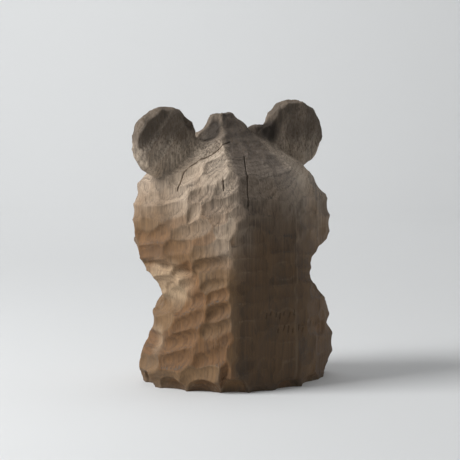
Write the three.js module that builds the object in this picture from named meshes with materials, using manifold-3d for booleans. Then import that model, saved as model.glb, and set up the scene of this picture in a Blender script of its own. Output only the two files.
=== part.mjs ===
// A seated bear hewn out of one upright block of log, big-headed, with two disc ears and a peaked crown.
// The block was first brought to flat faces, then every face was dressed with rows of broad gouge strokes,
// each of which left a shallow scoop that meets its neighbours along a crest.
// Millimetres. The bear faces -Y, its left side is +X, and its flat underside rests on z = 0.
import * as THREE from "three";
import Module from "manifold-3d";
import { mergeVertices } from "three/addons/utils/BufferGeometryUtils.js";

const wasm = await Module();
wasm.setup();

// The driving size. The figure keeps its pose and proportions, so every other size is a share of it.
const height = 301; // floor to the crown's peak, in millimetres

// The block
const backReach = 0.266 * height; // ears' plane to the flat back
const faceReach = 0.206 * height; // ears' plane to the flat of the face
const leftReach = 0.389 * height; // middle to the left cheek
const rightReach = 0.405 * height; // middle to the right cheek, where the block is fuller
const crownLean = [0.033 * height, -0.023 * height]; // the peak's own shift toward the left ear and the face

// The ears: two stout discs, not quite a pair
const leftEarRadius = 0.133 * height;
const rightEarRadius = 0.133 * height;
const earThickness = 0.1 * height;
const leftEarSpread = 0.286 * height; // middle of the head to the ear's middle
const rightEarSpread = 0.259 * height;
const leftEarHeight = 0.89 * height; // floor to the ear's middle
const rightEarHeight = 0.914 * height;

// The face and the limbs
const muzzleWidth = 0.28 * height;
const muzzleDepth = 0.22 * height; // from its underside to its top
const muzzleLength = 0.26 * height; // of which about half stands out of the face
const muzzleHeight = 0.53 * height; // floor to the muzzle's middle
const noseWidth = 0.113 * height;
const eyeSpread = 0.13 * height; // middle of the face to the middle of each eye
const eyeHeight = 0.684 * height;
const eyeWidth = 0.05 * height;
const mouthWidth = 0.017 * height; // of the single cut that makes the mouth
const forelegLength = 0.32 * height;
const forelegWidth = 0.153 * height;
const footLength = 0.2 * height;
const footWidth = 0.193 * height;
const footSpread = 0.14 * height; // middle to the middle of each foot

// The gouge work
const strokeLength = 0.16 * height; // of an ordinary stroke, along its row
const strokeDepth = 0.018 * height; // the most that one stroke takes off

const degrees = Math.PI / 180;

// Bearings of the block's upright lines: closer together round the back and the sides
const bearings = [];
for (let bearing = -42; bearing < 204; bearing += 6) bearings.push(bearing);
for (let bearing = 204; bearing < 317; bearing += 11.4) bearings.push(bearing);

// The same spread of values between 0 and 1 each time, for the unevenness of hand work
function uneven(n, step = 0.618034) {
  return (n * step + 0.37) % 1;
}

// Smooth curve through [place, value] pairs
function along(profile, place) {
  let i = 0;
  while (i < profile.length - 2 && place > profile[i + 1][0]) i += 1;
  const [x0, y0] = profile[i];
  const [x1, y1] = profile[i + 1];
  const [xa, ya] = profile[Math.max(i - 1, 0)];
  const [xb, yb] = profile[Math.min(i + 2, profile.length - 1)];
  const t = THREE.MathUtils.clamp((place - x0) / (x1 - x0), 0, 1);
  const start = ((y1 - ya) / (x1 - xa)) * (x1 - x0);
  const end = ((yb - y0) / (xb - x0)) * (x1 - x0);
  const t2 = t * t;
  const t3 = t2 * t;
  return (2 * t3 - 3 * t2 + 1) * y0 + (t3 - 2 * t2 + t) * start + (3 * t2 - 2 * t3) * y1 + (t3 - t2) * end;
}

// The block's hewn faces. Each has a bearing from the bear's left, a reach from the middle in millimetres,
// and a profile from floor to crown: [share of the height, share of the reach].
const crispness = 16;
const roof = [[0.8, 0.8], [0.88, 0.54], [0.94, 0.32], [0.975, 0.21], [1, 0.12]];
const faces = [
  { bearing: 90, reach: backReach, profile: [[0, 0.98], [0.06, 1], [0.5, 1], [0.68, 0.97], ...roof] },
  { bearing: 37, reach: 0.77 * leftReach, profile: [[0, 0.94], [0.05, 1], [0.55, 1], [0.68, 0.94], ...roof] },
  {
    bearing: -5,
    reach: leftReach,
    profile: [
      [0, 0.82], [0.05, 0.89], [0.12, 0.88], [0.16, 0.82], [0.24, 0.82], [0.3, 0.78], [0.34, 0.78],
      [0.4, 0.88], [0.47, 0.95], [0.6, 1], [0.7, 0.97], [0.78, 0.88], [0.84, 0.68], [0.91, 0.33], [0.97, 0.16], [1, 0.08],
    ],
  },
  {
    bearing: -50,
    reach: 0.88 * leftReach,
    profile: [[0, 0.96], [0.1, 0.94], [0.2, 0.84], [0.33, 0.76], [0.42, 0.86], [0.6, 1], [0.72, 0.95], ...roof],
  },
  {
    bearing: -90,
    reach: faceReach,
    profile: [[0, 1], [0.1, 1], [0.22, 0.97], [0.32, 0.82], [0.42, 0.93], [0.55, 1], [0.7, 0.95], ...roof],
  },
  {
    bearing: -130,
    reach: 0.8 * rightReach,
    profile: [[0, 0.98], [0.1, 0.96], [0.2, 0.88], [0.35, 0.76], [0.44, 0.86], [0.6, 1], [0.72, 0.95], ...roof],
  },
  {
    bearing: 183,
    reach: rightReach,
    profile: [
      [0, 0.98], [0.06, 1.05], [0.15, 1.04], [0.2, 0.95], [0.27, 0.94], [0.33, 0.84], [0.4, 0.76],
      [0.47, 0.84], [0.55, 0.98], [0.62, 1], [0.7, 0.92], [0.78, 0.76], [0.85, 0.56], [0.91, 0.32], [0.97, 0.15], [1, 0.08],
    ],
  },
  { bearing: 126, reach: 0.755 * rightReach, profile: [[0, 0.96], [0.08, 1], [0.6, 1], [0.7, 0.95], ...roof] },
];

// A point of the undressed block, at a bearing in degrees and a share of the height
function blockPoint(bearing, level) {
  let sum = 0;
  for (const face of faces) {
    const facing = Math.cos((bearing - face.bearing) * degrees);
    if (facing > 0) sum += (facing / (face.reach * along(face.profile, level))) ** crispness;
  }
  const reach = sum ** (-1 / crispness);
  const lean = THREE.MathUtils.smoothstep(level, 0.7, 1);
  return new THREE.Vector3(
    reach * Math.cos(bearing * degrees) + lean * crownLean[0],
    reach * Math.sin(bearing * degrees) + lean * crownLean[1],
    level * height,
  );
}

function blockOutward(bearing, level) {
  const low = Math.max(level - 0.015, 0);
  const high = Math.min(level + 0.015, 1);
  const around = blockPoint(bearing + 2, level).sub(blockPoint(bearing - 2, level));
  return around.cross(blockPoint(bearing, high).sub(blockPoint(bearing, low))).normalize();
}

// How far the rows have climbed, as a share of the height: they run up across the left flank toward the back
const climbAtLevel = [
  [0, 0], [0.1, 0.04], [0.2, 0.06], [0.3, 0.065], [0.4, 0.045], [0.5, 0.025], [0.6, 0.03],
  [0.7, 0.035], [0.8, 0.05], [0.9, 0.04], [1, 0],
];
const climbAtBearing = [[-42, 0], [0, 0.08], [60, 1], [90, 0.9], [120, 0.85], [180, 0.4], [250, 0.05], [318, 0]];

function levelOnRow(bearing, level) {
  const turned = ((bearing + 42) % 360) - 42;
  return level + along(climbAtLevel, level) * along(climbAtBearing, turned);
}

// Where the strokes of each row begin and end on the left flank, as bearings, from the floor up.
// The rest of each row is shared out in strokes of about the ordinary length.
const flankBreaks = [
  [60, 50, 20, -5], [60, 30, 5, -20], [60, 35, 5, -15], [60, 40, 15, -5], [60, 40, 15],
  [60, 35, 20, 0], [60, 30, 15, -5], [60, 30, 10, -10], [65, 45, 15, -10], [70, 35, 25, -5],
  [65, 45, 25, -5], [60, 35, 10], [60, 30, 0], [70, 20], [60, 0],
];

function strokesOfRow(row) {
  const rows = flankBreaks.length;
  const level = (row + 0.5) / rows;
  const breaks = [...flankBreaks[row]].reverse();
  const first = breaks[0] + 360;
  const start = breaks[breaks.length - 1];
  let girth = 0;
  for (let bearing = start; bearing < first; bearing += 5) {
    girth += blockPoint(bearing, level).distanceTo(blockPoint(bearing + 5, level));
  }
  const count = Math.max(3, Math.round(girth / strokeLength));
  for (let i = 1; i <= count; i += 1) {
    const share = i === count ? 1 : (i + 0.6 * uneven(row * 5 + i) - 0.3) / count;
    breaks.push(start + (first - start) * share);
  }
  return breaks.slice(1).map((to, i) => {
    const from = breaks[i];
    const middle = (from + to) / 2;
    const onBack = middle > 60 && middle < 120;
    const depth = strokeDepth * (0.65 + 0.6 * uneven(row * 11 + i, 0.7549)) * (onBack ? 0.62 : 1);
    const strayed = level + (0.34 * (uneven(row * 3 + i, 0.5698) - 0.5)) / rows;
    return { level: strayed, middle, half: (to - from) / 2, depth };
  });
}

const strokes = flankBreaks.flatMap((_, row) => strokesOfRow(row));

// Depth that the strokes take off at a bearing and an unclimbed level: the deepest bowl wins
function dressing(bearing, level) {
  const rowHalf = 0.5 / flankBreaks.length;
  let depth = 0;
  for (const stroke of strokes) {
    const across = (level - stroke.level) / rowHalf;
    if (Math.abs(across) > 2) continue;
    const turned = (((bearing - stroke.middle + 180) % 360) + 360) % 360;
    const run = (turned - 180) / stroke.half;
    depth = Math.max(depth, stroke.depth * (1 - 0.72 * across * across - 0.85 * run * run));
  }
  return depth;
}

// The dressed block as a closed mesh whose lines lie along the crests and the troughs of the rows
function blockGeometry() {
  const levels = [1];
  flankBreaks.forEach((_, row) => {
    const parts = row < 12 ? [0, 0.32, 0.68] : [0, 0.5];
    levels.push(...parts.map((part) => (row + part) / flankBreaks.length));
  });
  levels.sort((a, b) => a - b);
  const positions = [];
  for (const level of levels) {
    for (const bearing of bearings) {
      const climbed = levelOnRow(bearing, level);
      const point = blockPoint(bearing, climbed);
      const out = blockOutward(bearing, climbed);
      point.addScaledVector(out, -dressing(bearing, level));
      if (level === 0) point.z = 0;
      positions.push(...point.toArray());
    }
  }
  const rows = levels.length;
  const columns = bearings.length;
  positions.push(0, 0, 0, ...crownLean, height);
  const indices = [];
  for (let column = 0; column < columns; column += 1) {
    const next = (column + 1) % columns;
    for (let row = 0; row < rows - 1; row += 1) {
      const a = row * columns + column;
      const b = row * columns + next;
      indices.push(a, b, b + columns, a, b + columns, a + columns);
    }
    const top = (rows - 1) * columns;
    indices.push(rows * columns, next, column);
    indices.push(rows * columns + 1, top + column, top + next);
  }
  const geometry = new THREE.BufferGeometry();
  geometry.setAttribute("position", new THREE.Float32BufferAttribute(positions, 3));
  geometry.setIndex(indices);
  return geometry;
}

function solidFrom(geometry) {
  const bare = geometry.clone();
  bare.deleteAttribute("normal");
  bare.deleteAttribute("uv");
  const merged = mergeVertices(bare, 1e-4);
  return new wasm.Manifold(
    new wasm.Mesh({
      numProp: 3,
      vertProperties: new Float32Array(merged.attributes.position.array),
      triVerts: new Uint32Array(merged.index.array),
    }),
  );
}

// A rounded lump dressed with a number of scooped facets. Boxiness below 1 flattens it along its own Y.
function lump({ at, size, facets, seed, scoop = 0.12, turn = [0, 0, 0], boxiness = 1, detail = 4 }) {
  const directions = [];
  for (let i = 0; i < facets; i += 1) {
    const rise = 1 - (2 * i + 1) / facets;
    const bearing = i * 2.39996 + seed + 0.5 * uneven(i + seed);
    const ring = Math.sqrt(1 - rise * rise);
    directions.push(new THREE.Vector3(ring * Math.cos(bearing), ring * Math.sin(bearing), rise));
  }
  const facetAngle = Math.sqrt(4 / facets);
  const geometry = new THREE.IcosahedronGeometry(1, detail);
  geometry.deleteAttribute("normal");
  geometry.deleteAttribute("uv");
  const merged = mergeVertices(geometry, 1e-4);
  const position = merged.attributes.position;
  const point = new THREE.Vector3();
  for (let i = 0; i < position.count; i += 1) {
    point.fromBufferAttribute(position, i).normalize();
    const nearest = Math.min(...directions.map((direction) => point.angleTo(direction)));
    point.multiplyScalar(1 - scoop * Math.max(0, 1 - (nearest / facetAngle) ** 2));
    point.y = Math.sign(point.y) * Math.abs(point.y) ** boxiness;
    position.setXYZ(i, point.x, point.y, point.z);
  }
  const place = new THREE.Matrix4().compose(
    new THREE.Vector3(...at),
    new THREE.Quaternion().setFromEuler(new THREE.Euler(...turn.map((angle) => angle * degrees))),
    new THREE.Vector3(...size).multiplyScalar(0.5),
  );
  return solidFrom(merged.applyMatrix4(place));
}

// A smooth bowl to cut away, as an egg of three sizes turned about the upright axis
function hollow({ at, size, bearing = 0, detail = 3 }) {
  const egg = new THREE.IcosahedronGeometry(0.5, detail);
  const place = new THREE.Matrix4().compose(
    new THREE.Vector3(...at),
    new THREE.Quaternion().setFromAxisAngle(new THREE.Vector3(0, 0, 1), bearing * degrees),
    new THREE.Vector3(...size),
  );
  return solidFrom(egg.applyMatrix4(place));
}

// A hollow whose middle stands off the block's face, so that it bites to a given depth. Its size runs
// outward, along the face and upward.
function biteOut({ bearing, level, size, bite, detail = 3 }) {
  const out = blockOutward(bearing, level);
  const at = blockPoint(bearing, level).addScaledVector(out, size[0] / 2 - bite);
  return hollow({ at: at.toArray(), size, bearing: Math.atan2(out.y, out.x) / degrees, detail });
}

const blockSolid = solidFrom(blockGeometry());

const leftEar = lump({
  at: [leftEarSpread, 0, leftEarHeight],
  size: [2 * leftEarRadius, earThickness, 2 * leftEarRadius],
  facets: 30,
  seed: 1,
  boxiness: 0.55,
});
const rightEar = lump({
  at: [-rightEarSpread, 0, rightEarHeight],
  size: [2 * rightEarRadius, earThickness, 2 * rightEarRadius],
  facets: 28,
  seed: 4,
  boxiness: 0.55,
});
const muzzle = lump({
  at: [0, -faceReach - 0.05 * muzzleLength, muzzleHeight],
  size: [muzzleWidth, muzzleLength, muzzleDepth],
  facets: 26,
  seed: 2,
  detail: 3,
});
const noseTip = -faceReach - 0.55 * muzzleLength;
const nose = lump({
  at: [0, noseTip + 0.02 * height, muzzleHeight + 0.26 * muzzleDepth],
  size: [noseWidth, 0.6 * noseWidth, 0.7 * noseWidth],
  facets: 10,
  seed: 3,
  detail: 2,
});

function pair(make) {
  return [make(1), make(-1)];
}

const forelegs = pair((side) =>
  lump({
    at: [side * 1.02 * forelegWidth, -0.8 * faceReach, 0.75 * forelegLength],
    size: [forelegWidth, forelegWidth, forelegLength],
    turn: [-24, side * 20, 0],
    facets: 24,
    seed: 5 + side,
    detail: 3,
  }),
);
const feet = pair((side) =>
  lump({
    at: [side * footSpread, -faceReach - 0.12 * footLength, 0.32 * footWidth],
    size: [footWidth, footLength, 0.9 * footWidth],
    turn: [0, 0, side * 12],
    facets: 18,
    seed: 8 + side,
    detail: 3,
  }),
);
const eyeLevel = eyeHeight / height;
const eyes = pair((side) => {
  const surface = blockPoint(side > 0 ? -56 : -124, eyeLevel);
  return lump({
    at: [side * eyeSpread, surface.y + 0.4 * eyeWidth, eyeHeight],
    size: [eyeWidth, eyeWidth, eyeWidth],
    facets: 8,
    seed: 2,
    scoop: 0.05,
    detail: 2,
  });
});
const eyeSockets = pair((side) =>
  hollow({
    at: [side * eyeSpread, -faceReach, eyeHeight],
    size: [2.2 * eyeWidth, 1.5 * eyeWidth, 1.8 * eyeWidth],
    detail: 2,
  }),
);
const earHollows = [
  hollow({
    at: [leftEarSpread, -0.63 * earThickness, leftEarHeight],
    size: [1.25 * leftEarRadius, 0.86 * earThickness, 1.25 * leftEarRadius],
    detail: 3,
  }),
  hollow({
    at: [-rightEarSpread, -0.63 * earThickness, rightEarHeight],
    size: [1.25 * rightEarRadius, 0.86 * earThickness, 1.25 * rightEarRadius],
    detail: 3,
  }),
];

// Three sizes or places at once, given as shares of the height
function shares(...values) {
  return values.map((value) => value * height);
}

// The neck is waisted on both sides; on the left the gouge also ran out over the flank
const neckHollows = [
  hollow({ at: shares(0.329, -0.153, 0.355), size: shares(0.24, 0.4, 0.186), bearing: -31 }),
  biteOut({ bearing: 17, level: 0.335, size: shares(0.186, 0.206, 0.153), bite: 0.023 * height }),
  hollow({ at: shares(-0.357, 0.194, 0.415), size: shares(0.252, 0.44, 0.225), bearing: -31 }),
];

// Notches between limb and haunch
const notches = [
  biteOut({ bearing: -8, level: 0.175, size: shares(0.12, 0.166, 0.08), bite: 0.017 * height }),
  biteOut({ bearing: 150, level: 0.195, size: shares(0.12, 0.166, 0.073), bite: 0.017 * height }),
];

// Thumb-shaped scoops along the bottom edge: bearing, then width, rise above the floor and bite as shares
const edgeScoops = [
  [60, 0.113, 0.056, 0.043], [38, 0.133, 0.043, 0.027], [12, 0.113, 0.04, 0.03], [-14, 0.1, 0.04, 0.027],
  [82, 0.113, 0.03, 0.02], [108, 0.106, 0.046, 0.03], [137, 0.133, 0.04, 0.03], [168, 0.106, 0.04, 0.03],
  [-166, 0.12, 0.043, 0.027], [-142, 0.113, 0.04, 0.027],
].map(([bearing, width, rise, bite]) =>
  biteOut({ bearing, level: 0, size: shares(2.4 * bite, width, 2 * rise), bite: bite * height, detail: 2 }),
);

const mouth = hollow({
  at: [0, noseTip + 0.013 * height, muzzleHeight - 0.17 * muzzleDepth],
  size: [0.62 * muzzleWidth, 0.44 * muzzleLength, mouthWidth],
  detail: 2,
});

const ground = solidFrom(new THREE.BoxGeometry(2 * height, 2 * height, height).translate(0, 0, -height / 2));
const cuts = [...eyeSockets, ...earHollows, ...neckHollows, ...notches, ...edgeScoops, mouth];
const joined = [leftEar, rightEar, muzzle, nose, ...forelegs, ...feet].reduce((a, b) => a.add(b), blockSolid);
const hollowed = cuts.reduce((a, b) => a.subtract(b), joined);
const carved = eyes.reduce((a, b) => a.add(b), hollowed).subtract(ground);

// Stand the piece on the middle of its own outline
const made = carved.getMesh();
const geometry = new THREE.BufferGeometry();
geometry.setAttribute("position", new THREE.BufferAttribute(new Float32Array(made.vertProperties), 3));
geometry.setIndex(new THREE.BufferAttribute(made.triVerts, 1));
geometry.computeBoundingBox();
const middle = geometry.boundingBox.getCenter(new THREE.Vector3());
geometry.translate(-middle.x, -middle.y, -geometry.boundingBox.min.z);
geometry.computeVertexNormals();

const wood = new THREE.MeshStandardMaterial({ color: 0x5a4b3e, roughness: 0.85, metalness: 0 });
const bear = new THREE.Mesh(geometry, wood);
bear.name = "carved_bear";
const root = new THREE.Group();
root.add(bear);
export default root;
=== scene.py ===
# %% [markdown]
# # A bear carved out of one log
#
# This lesson dresses a plain CAD bear so that it looks like weathered, gouge-cut wood. The real carving is
# one block: a big head with two disc ears, a waisted neck and a heavy base, worked all over with a broad
# gouge. We load the CAD part first. It fixes the place and the size of everything that follows.

import math

import bmesh
import bpy
import numpy as np
from mathutils import Matrix, Vector, noise
from mathutils.kdtree import KDTree


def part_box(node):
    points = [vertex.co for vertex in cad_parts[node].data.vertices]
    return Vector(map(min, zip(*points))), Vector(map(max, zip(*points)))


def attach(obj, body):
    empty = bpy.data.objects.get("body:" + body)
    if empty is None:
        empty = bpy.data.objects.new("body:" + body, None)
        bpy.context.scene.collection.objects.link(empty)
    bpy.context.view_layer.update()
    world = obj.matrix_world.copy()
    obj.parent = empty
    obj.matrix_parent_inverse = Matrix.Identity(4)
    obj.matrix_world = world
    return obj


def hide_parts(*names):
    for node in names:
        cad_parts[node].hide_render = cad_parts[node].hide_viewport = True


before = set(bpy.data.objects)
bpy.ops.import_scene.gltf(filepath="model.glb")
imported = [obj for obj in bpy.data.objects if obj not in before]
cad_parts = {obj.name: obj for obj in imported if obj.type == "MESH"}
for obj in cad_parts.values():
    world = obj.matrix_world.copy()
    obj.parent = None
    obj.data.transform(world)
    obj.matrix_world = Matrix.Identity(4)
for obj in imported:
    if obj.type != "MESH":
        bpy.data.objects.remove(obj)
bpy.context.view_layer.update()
node = "carved_bear"
low, high = (np.array(corner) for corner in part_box(node))
print("CAD box in mm:", np.round(low * 1000, 1), np.round(high * 1000, 1))

# %% [markdown]
# ## The block
#
# The carver began with an upright block hewn to eight faces. We keep one profile per face, from the floor to
# the crown, and blend the faces into a section at any height. The CAD part was made the same way, so the
# same shares of the height give the same form. Here we only sample it more finely, because every gouge
# stroke should have many points of its own.

# %% The block's hewn faces
height = 0.301  # floor to the crown's peak, in metres
crispness = 16
crown_lean = np.array([0.033, -0.023]) * height
left_reach = 0.389 * height
right_reach = 0.405 * height
back_reach = 0.266 * height
face_reach = 0.206 * height

roof = [[0.8, 0.8], [0.88, 0.54], [0.94, 0.32], [0.975, 0.21], [1, 0.12]]
corner = [[0.6, 1], [0.72, 0.95]] + roof
faces = [
    (90, back_reach, [[0, 0.98], [0.06, 1], [0.5, 1], [0.68, 0.97]] + roof),
    (37, 0.77 * left_reach, [[0, 0.94], [0.05, 1], [0.55, 1], [0.68, 0.94]] + roof),
    (-5, left_reach, [
        [0, 0.82], [0.05, 0.89], [0.12, 0.88], [0.16, 0.82], [0.24, 0.82], [0.3, 0.78], [0.34, 0.78],
        [0.4, 0.88], [0.47, 0.95], [0.6, 1], [0.7, 0.97], [0.78, 0.88], [0.84, 0.68], [0.91, 0.33],
        [0.97, 0.16], [1, 0.08],
    ]),
    (-50, 0.88 * left_reach, [[0, 0.96], [0.1, 0.94], [0.2, 0.84], [0.33, 0.76], [0.42, 0.86]] + corner),
    (-90, face_reach, [
        [0, 1], [0.1, 1], [0.22, 0.97], [0.32, 0.82], [0.42, 0.93], [0.55, 1], [0.7, 0.95],
    ] + roof),
    (-130, 0.8 * right_reach, [[0, 0.98], [0.1, 0.96], [0.2, 0.88], [0.35, 0.76], [0.44, 0.86]] + corner),
    (183, right_reach, [
        [0, 0.98], [0.06, 1.05], [0.15, 1.04], [0.2, 0.95], [0.27, 0.94], [0.33, 0.84], [0.4, 0.76],
        [0.47, 0.84], [0.55, 0.98], [0.62, 1], [0.7, 0.92], [0.78, 0.76], [0.85, 0.56], [0.91, 0.32],
        [0.97, 0.15], [1, 0.08],
    ]),
    (126, 0.755 * right_reach, [[0, 0.96], [0.08, 1], [0.6, 1], [0.7, 0.95]] + roof),
]
print("Hewn faces:", len(faces))

# %% Places on the block
def along(profile, place):
    """Smooth curve through [place, value] pairs, at one place or at many."""
    xs, ys = np.array(profile, float).T
    place = np.asarray(place, float)
    i = np.clip(np.searchsorted(xs, place, side="left") - 1, 0, len(xs) - 2)
    before, after = np.maximum(i - 1, 0), np.minimum(i + 2, len(xs) - 1)
    step = xs[i + 1] - xs[i]
    t = np.clip((place - xs[i]) / step, 0, 1)
    start = (ys[i + 1] - ys[before]) / (xs[i + 1] - xs[before]) * step
    end = (ys[after] - ys[i]) / (xs[after] - xs[i]) * step
    return (
        (2 * t**3 - 3 * t**2 + 1) * ys[i] + (t**3 - 2 * t**2 + t) * start
        + (3 * t**2 - 2 * t**3) * ys[i + 1] + (t**3 - t**2) * end
    )


def smooth_step(low_edge, high_edge, value):
    t = np.clip((value - low_edge) / (high_edge - low_edge), 0, 1)
    return t * t * (3 - 2 * t)


def block_points(bearing, level):
    """Points of the undressed block, for arrays of bearings in degrees and shares of the height."""
    bearing, level = np.broadcast_arrays(np.asarray(bearing, float), np.asarray(level, float))
    total = np.zeros(bearing.shape)
    for face_bearing, reach, profile in faces:
        facing = np.maximum(np.cos(np.radians(bearing - face_bearing)), 0)
        total += (facing / (reach * along(profile, level))) ** crispness
    reach = total ** (-1 / crispness)
    lean = smooth_step(0.7, 1, level)
    return np.stack([
        reach * np.cos(np.radians(bearing)) + lean * crown_lean[0],
        reach * np.sin(np.radians(bearing)) + lean * crown_lean[1],
        level * height,
    ], -1)


def block_outward(bearing, level):
    """The way out of the block at those places."""
    lower, upper = np.maximum(level - 0.015, 0), np.minimum(level + 0.015, 1)
    around = block_points(bearing + 2, level) - block_points(bearing - 2, level)
    rise = block_points(bearing, upper) - block_points(bearing, lower)
    out = np.cross(around, rise)
    return out / np.linalg.norm(out, axis=-1, keepdims=True)


print("Block at mid height, bearing 90:", np.round(block_points(90, 0.5) * 1000, 1), "mm")

# %% [markdown]
# A grid of points, row upon row, becomes a mesh when neighbouring rows are joined by quads. One big face
# closes the underside and another the crown. The block is left a little long below the floor line, as a
# carver leaves it, and is sawn off level once the carving is done.

# %% Make the block as a closed mesh
def mesh_object(name, points, polygons):
    """A new object from points and polygons, linked into the scene."""
    mesh = bpy.data.meshes.new(name)
    mesh.from_pydata([tuple(point) for point in points], [], polygons)
    mesh.update()
    made = bpy.data.objects.new(name, mesh)
    bpy.context.scene.collection.objects.link(made)
    return made


block_columns, block_rows = 180, 156
spare_below = 0.03  # share of the height left under the floor line, sawn off at the end
grid_bearing, grid_level = np.meshgrid(
    np.arange(block_columns) * 360 / block_columns, np.linspace(-spare_below, 1, block_rows + 1)
)
block_grid = block_points(grid_bearing, grid_level).reshape(-1, 3)
quads = []
for row in range(block_rows):
    for column in range(block_columns):
        beside = (column + 1) % block_columns
        a, b = row * block_columns + column, row * block_columns + beside
        quads.append((a, b, b + block_columns, a + block_columns))
last_row = block_rows * block_columns
underside = tuple(reversed(range(block_columns)))
crown_end = tuple(last_row + column for column in range(block_columns))
bear = mesh_object("bear", block_grid, quads + [underside, crown_end])
print("Block mesh:", len(bear.data.vertices), "points")

# %% [markdown]
# ## Ears, muzzle, nose, limbs and eyes
#
# These are lumps on the block: an icosphere stretched to size. The ears are squarer through their thickness,
# so they read as stout discs. Each lump also keeps the directions of its facets, which tell us later where
# the gouge bit into it.

# %% Lumps that join the block
second_step, third_step = 0.7549, 0.5698  # other spreads, so that two of them don't fall in with each other
golden_angle = 2.39996  # radians, spreads directions evenly over a ball


def uneven(n, step=0.618034):
    """The same spread of values between 0 and 1 each time, for the unevenness of hand work."""
    return (n * step + 0.37) % 1


def turn_matrix(turn):
    x, y, z = (Matrix.Rotation(math.radians(angle), 3, axis) for angle, axis in zip(turn, "XYZ"))
    return np.array(x @ y @ z)


def ball(name, subdivisions):
    bpy.ops.mesh.primitive_ico_sphere_add(subdivisions=subdivisions, radius=1)
    made = bpy.context.object
    made.name = name
    return made


def points_of(thing, kind="co"):
    """The places of all points, or with kind="normal" the directions that they face."""
    values = np.empty(len(thing.data.vertices) * 3)
    thing.data.vertices.foreach_get(kind, values)
    return values.reshape(-1, 3)


def set_points(thing, points):
    thing.data.vertices.foreach_set("co", np.ascontiguousarray(points, float).ravel())
    thing.data.update()


strokes = []  # every gouge stroke on the bear, as a dict


def shares(*values):
    return np.array(values) * height


def add_lump(name, at, size, facets, seed, turn=(0, 0, 0), boxiness=1.0, subdivisions=5, scoop=0.12):
    """A lump of wood, and one gouge stroke for each of its facets."""
    at, half = np.array(at, float), np.array(size, float) / 2
    rotation = turn_matrix(turn)

    def placed(directions):
        shaped = directions.copy()
        shaped[:, 1] = np.sign(shaped[:, 1]) * np.abs(shaped[:, 1]) ** boxiness
        return (shaped * half) @ rotation.T + at

    lump = ball(name, subdivisions)
    set_points(lump, placed(points_of(lump)))
    number = np.arange(facets)
    rise = 1 - (2 * number + 1) / facets
    bearing = number * golden_angle + seed + 0.5 * uneven(number + seed)
    ring = np.sqrt(1 - rise**2)
    directions = np.stack([ring * np.cos(bearing), ring * np.sin(bearing), rise], 1)
    spread = math.sqrt(4 / facets) * float(np.mean(half))
    for i, centre in enumerate(placed(directions)):
        tilt = 50 * (uneven(seed * 13 + i) - 0.5)
        shape = 1 + 0.3 * (uneven(seed * 5 + i, second_step) - 0.5)
        strokes.append({
            "at": centre, "tilt": tilt, "length": 2.3 * spread * shape, "width": 1.6 * spread / shape,
            "depth": 0.7 * scoop * float(np.min(half)) * (0.7 + 0.6 * uneven(i, third_step)),
        })
    return lump


print("The first uneven values:", [round(uneven(n), 2) for n in range(4)])

# %% Sizes and places of the lumps
ear_radius = 0.133 * height
ear_size = (2 * ear_radius, 0.1 * height, 2 * ear_radius)
left_ear_at = (0.286 * height, 0, 0.89 * height)
right_ear_at = (-0.259 * height, 0, 0.914 * height)
muzzle_size = np.array([0.28, 0.26, 0.22]) * height
muzzle_height = 0.53 * height
nose_tip = -face_reach - 0.55 * muzzle_size[1]
nose_width = 0.113 * height
foreleg_width, foreleg_length = 0.153 * height, 0.32 * height
foot_width, foot_length = 0.193 * height, 0.2 * height

lumps = [
    add_lump("left ear", left_ear_at, ear_size, 30, 1, boxiness=0.55, scoop=0.2),
    add_lump("right ear", right_ear_at, ear_size, 28, 4, boxiness=0.55, scoop=0.2),
    add_lump("right saddle", shares(-0.122, 0, 0.895), shares(0.17, 0.1, 0.14), 8, 6),
    add_lump(
        "muzzle", (0, -face_reach - 0.05 * muzzle_size[1], muzzle_height), muzzle_size, 26, 2, scoop=0.06,
    ),
    add_lump(
        "nose", (0, nose_tip + 0.02 * height, muzzle_height + 0.26 * muzzle_size[2]),
        (nose_width, 0.6 * nose_width, 0.7 * nose_width), 10, 3, subdivisions=4, scoop=0.05,
    ),
]
for side in (1, -1):
    lumps.append(add_lump(
        "foreleg", (side * 1.02 * foreleg_width, -0.8 * face_reach, 0.75 * foreleg_length),
        (foreleg_width, foreleg_width, foreleg_length), 24, 5 + side, turn=(-24, side * 20, 0),
    ))
for side in (1, -1):
    lumps.append(add_lump(
        "foot", (side * 0.14 * height, -face_reach - 0.12 * foot_length, 0.32 * foot_width),
        (foot_width, foot_length, 0.9 * foot_width), 18, 8 + side, turn=(0, 0, side * 12),
    ))
print("Lumps:", len(lumps), "and their strokes:", len(strokes))

# %% [markdown]
# The backs of the ears are flatter than the rest: the carver cut each with a few long slanting strokes. So
# the small strokes that fall there are taken out, and four long ones a side come in.

# %% Long strokes on the backs of the ears
strokes = [
    stroke for stroke in strokes
    if stroke["at"][2] < 0.75 * height or stroke["at"][1] < 0.03 * height
]
for ear_at, tilt, depth in ((left_ear_at, 52, 0.005), (right_ear_at, 64, 0.0034)):
    steep = math.radians(tilt)
    across_way = np.array([math.sin(steep), 0, math.cos(steep)])
    for offset in (-0.72, -0.27, 0.18, 0.63):
        strokes.append({
            "at": np.array(ear_at) + across_way * offset * ear_radius + shares(0, 0.05, 0), "tilt": tilt,
            "length": 2.6 * ear_radius, "width": 0.5 * ear_radius, "depth": depth,
        })
print("Strokes on lumps and ears:", len(strokes))

# %% [markdown]
# ## Joining and hollowing
#
# A boolean modifier joins each lump to the block, and others cut the hollows: the waisted neck, the eye
# sockets, the cupped fronts of the ears and the thumb-shaped scoops along the bottom edge. The manifold
# solver is quick on closed meshes like these.

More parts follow.
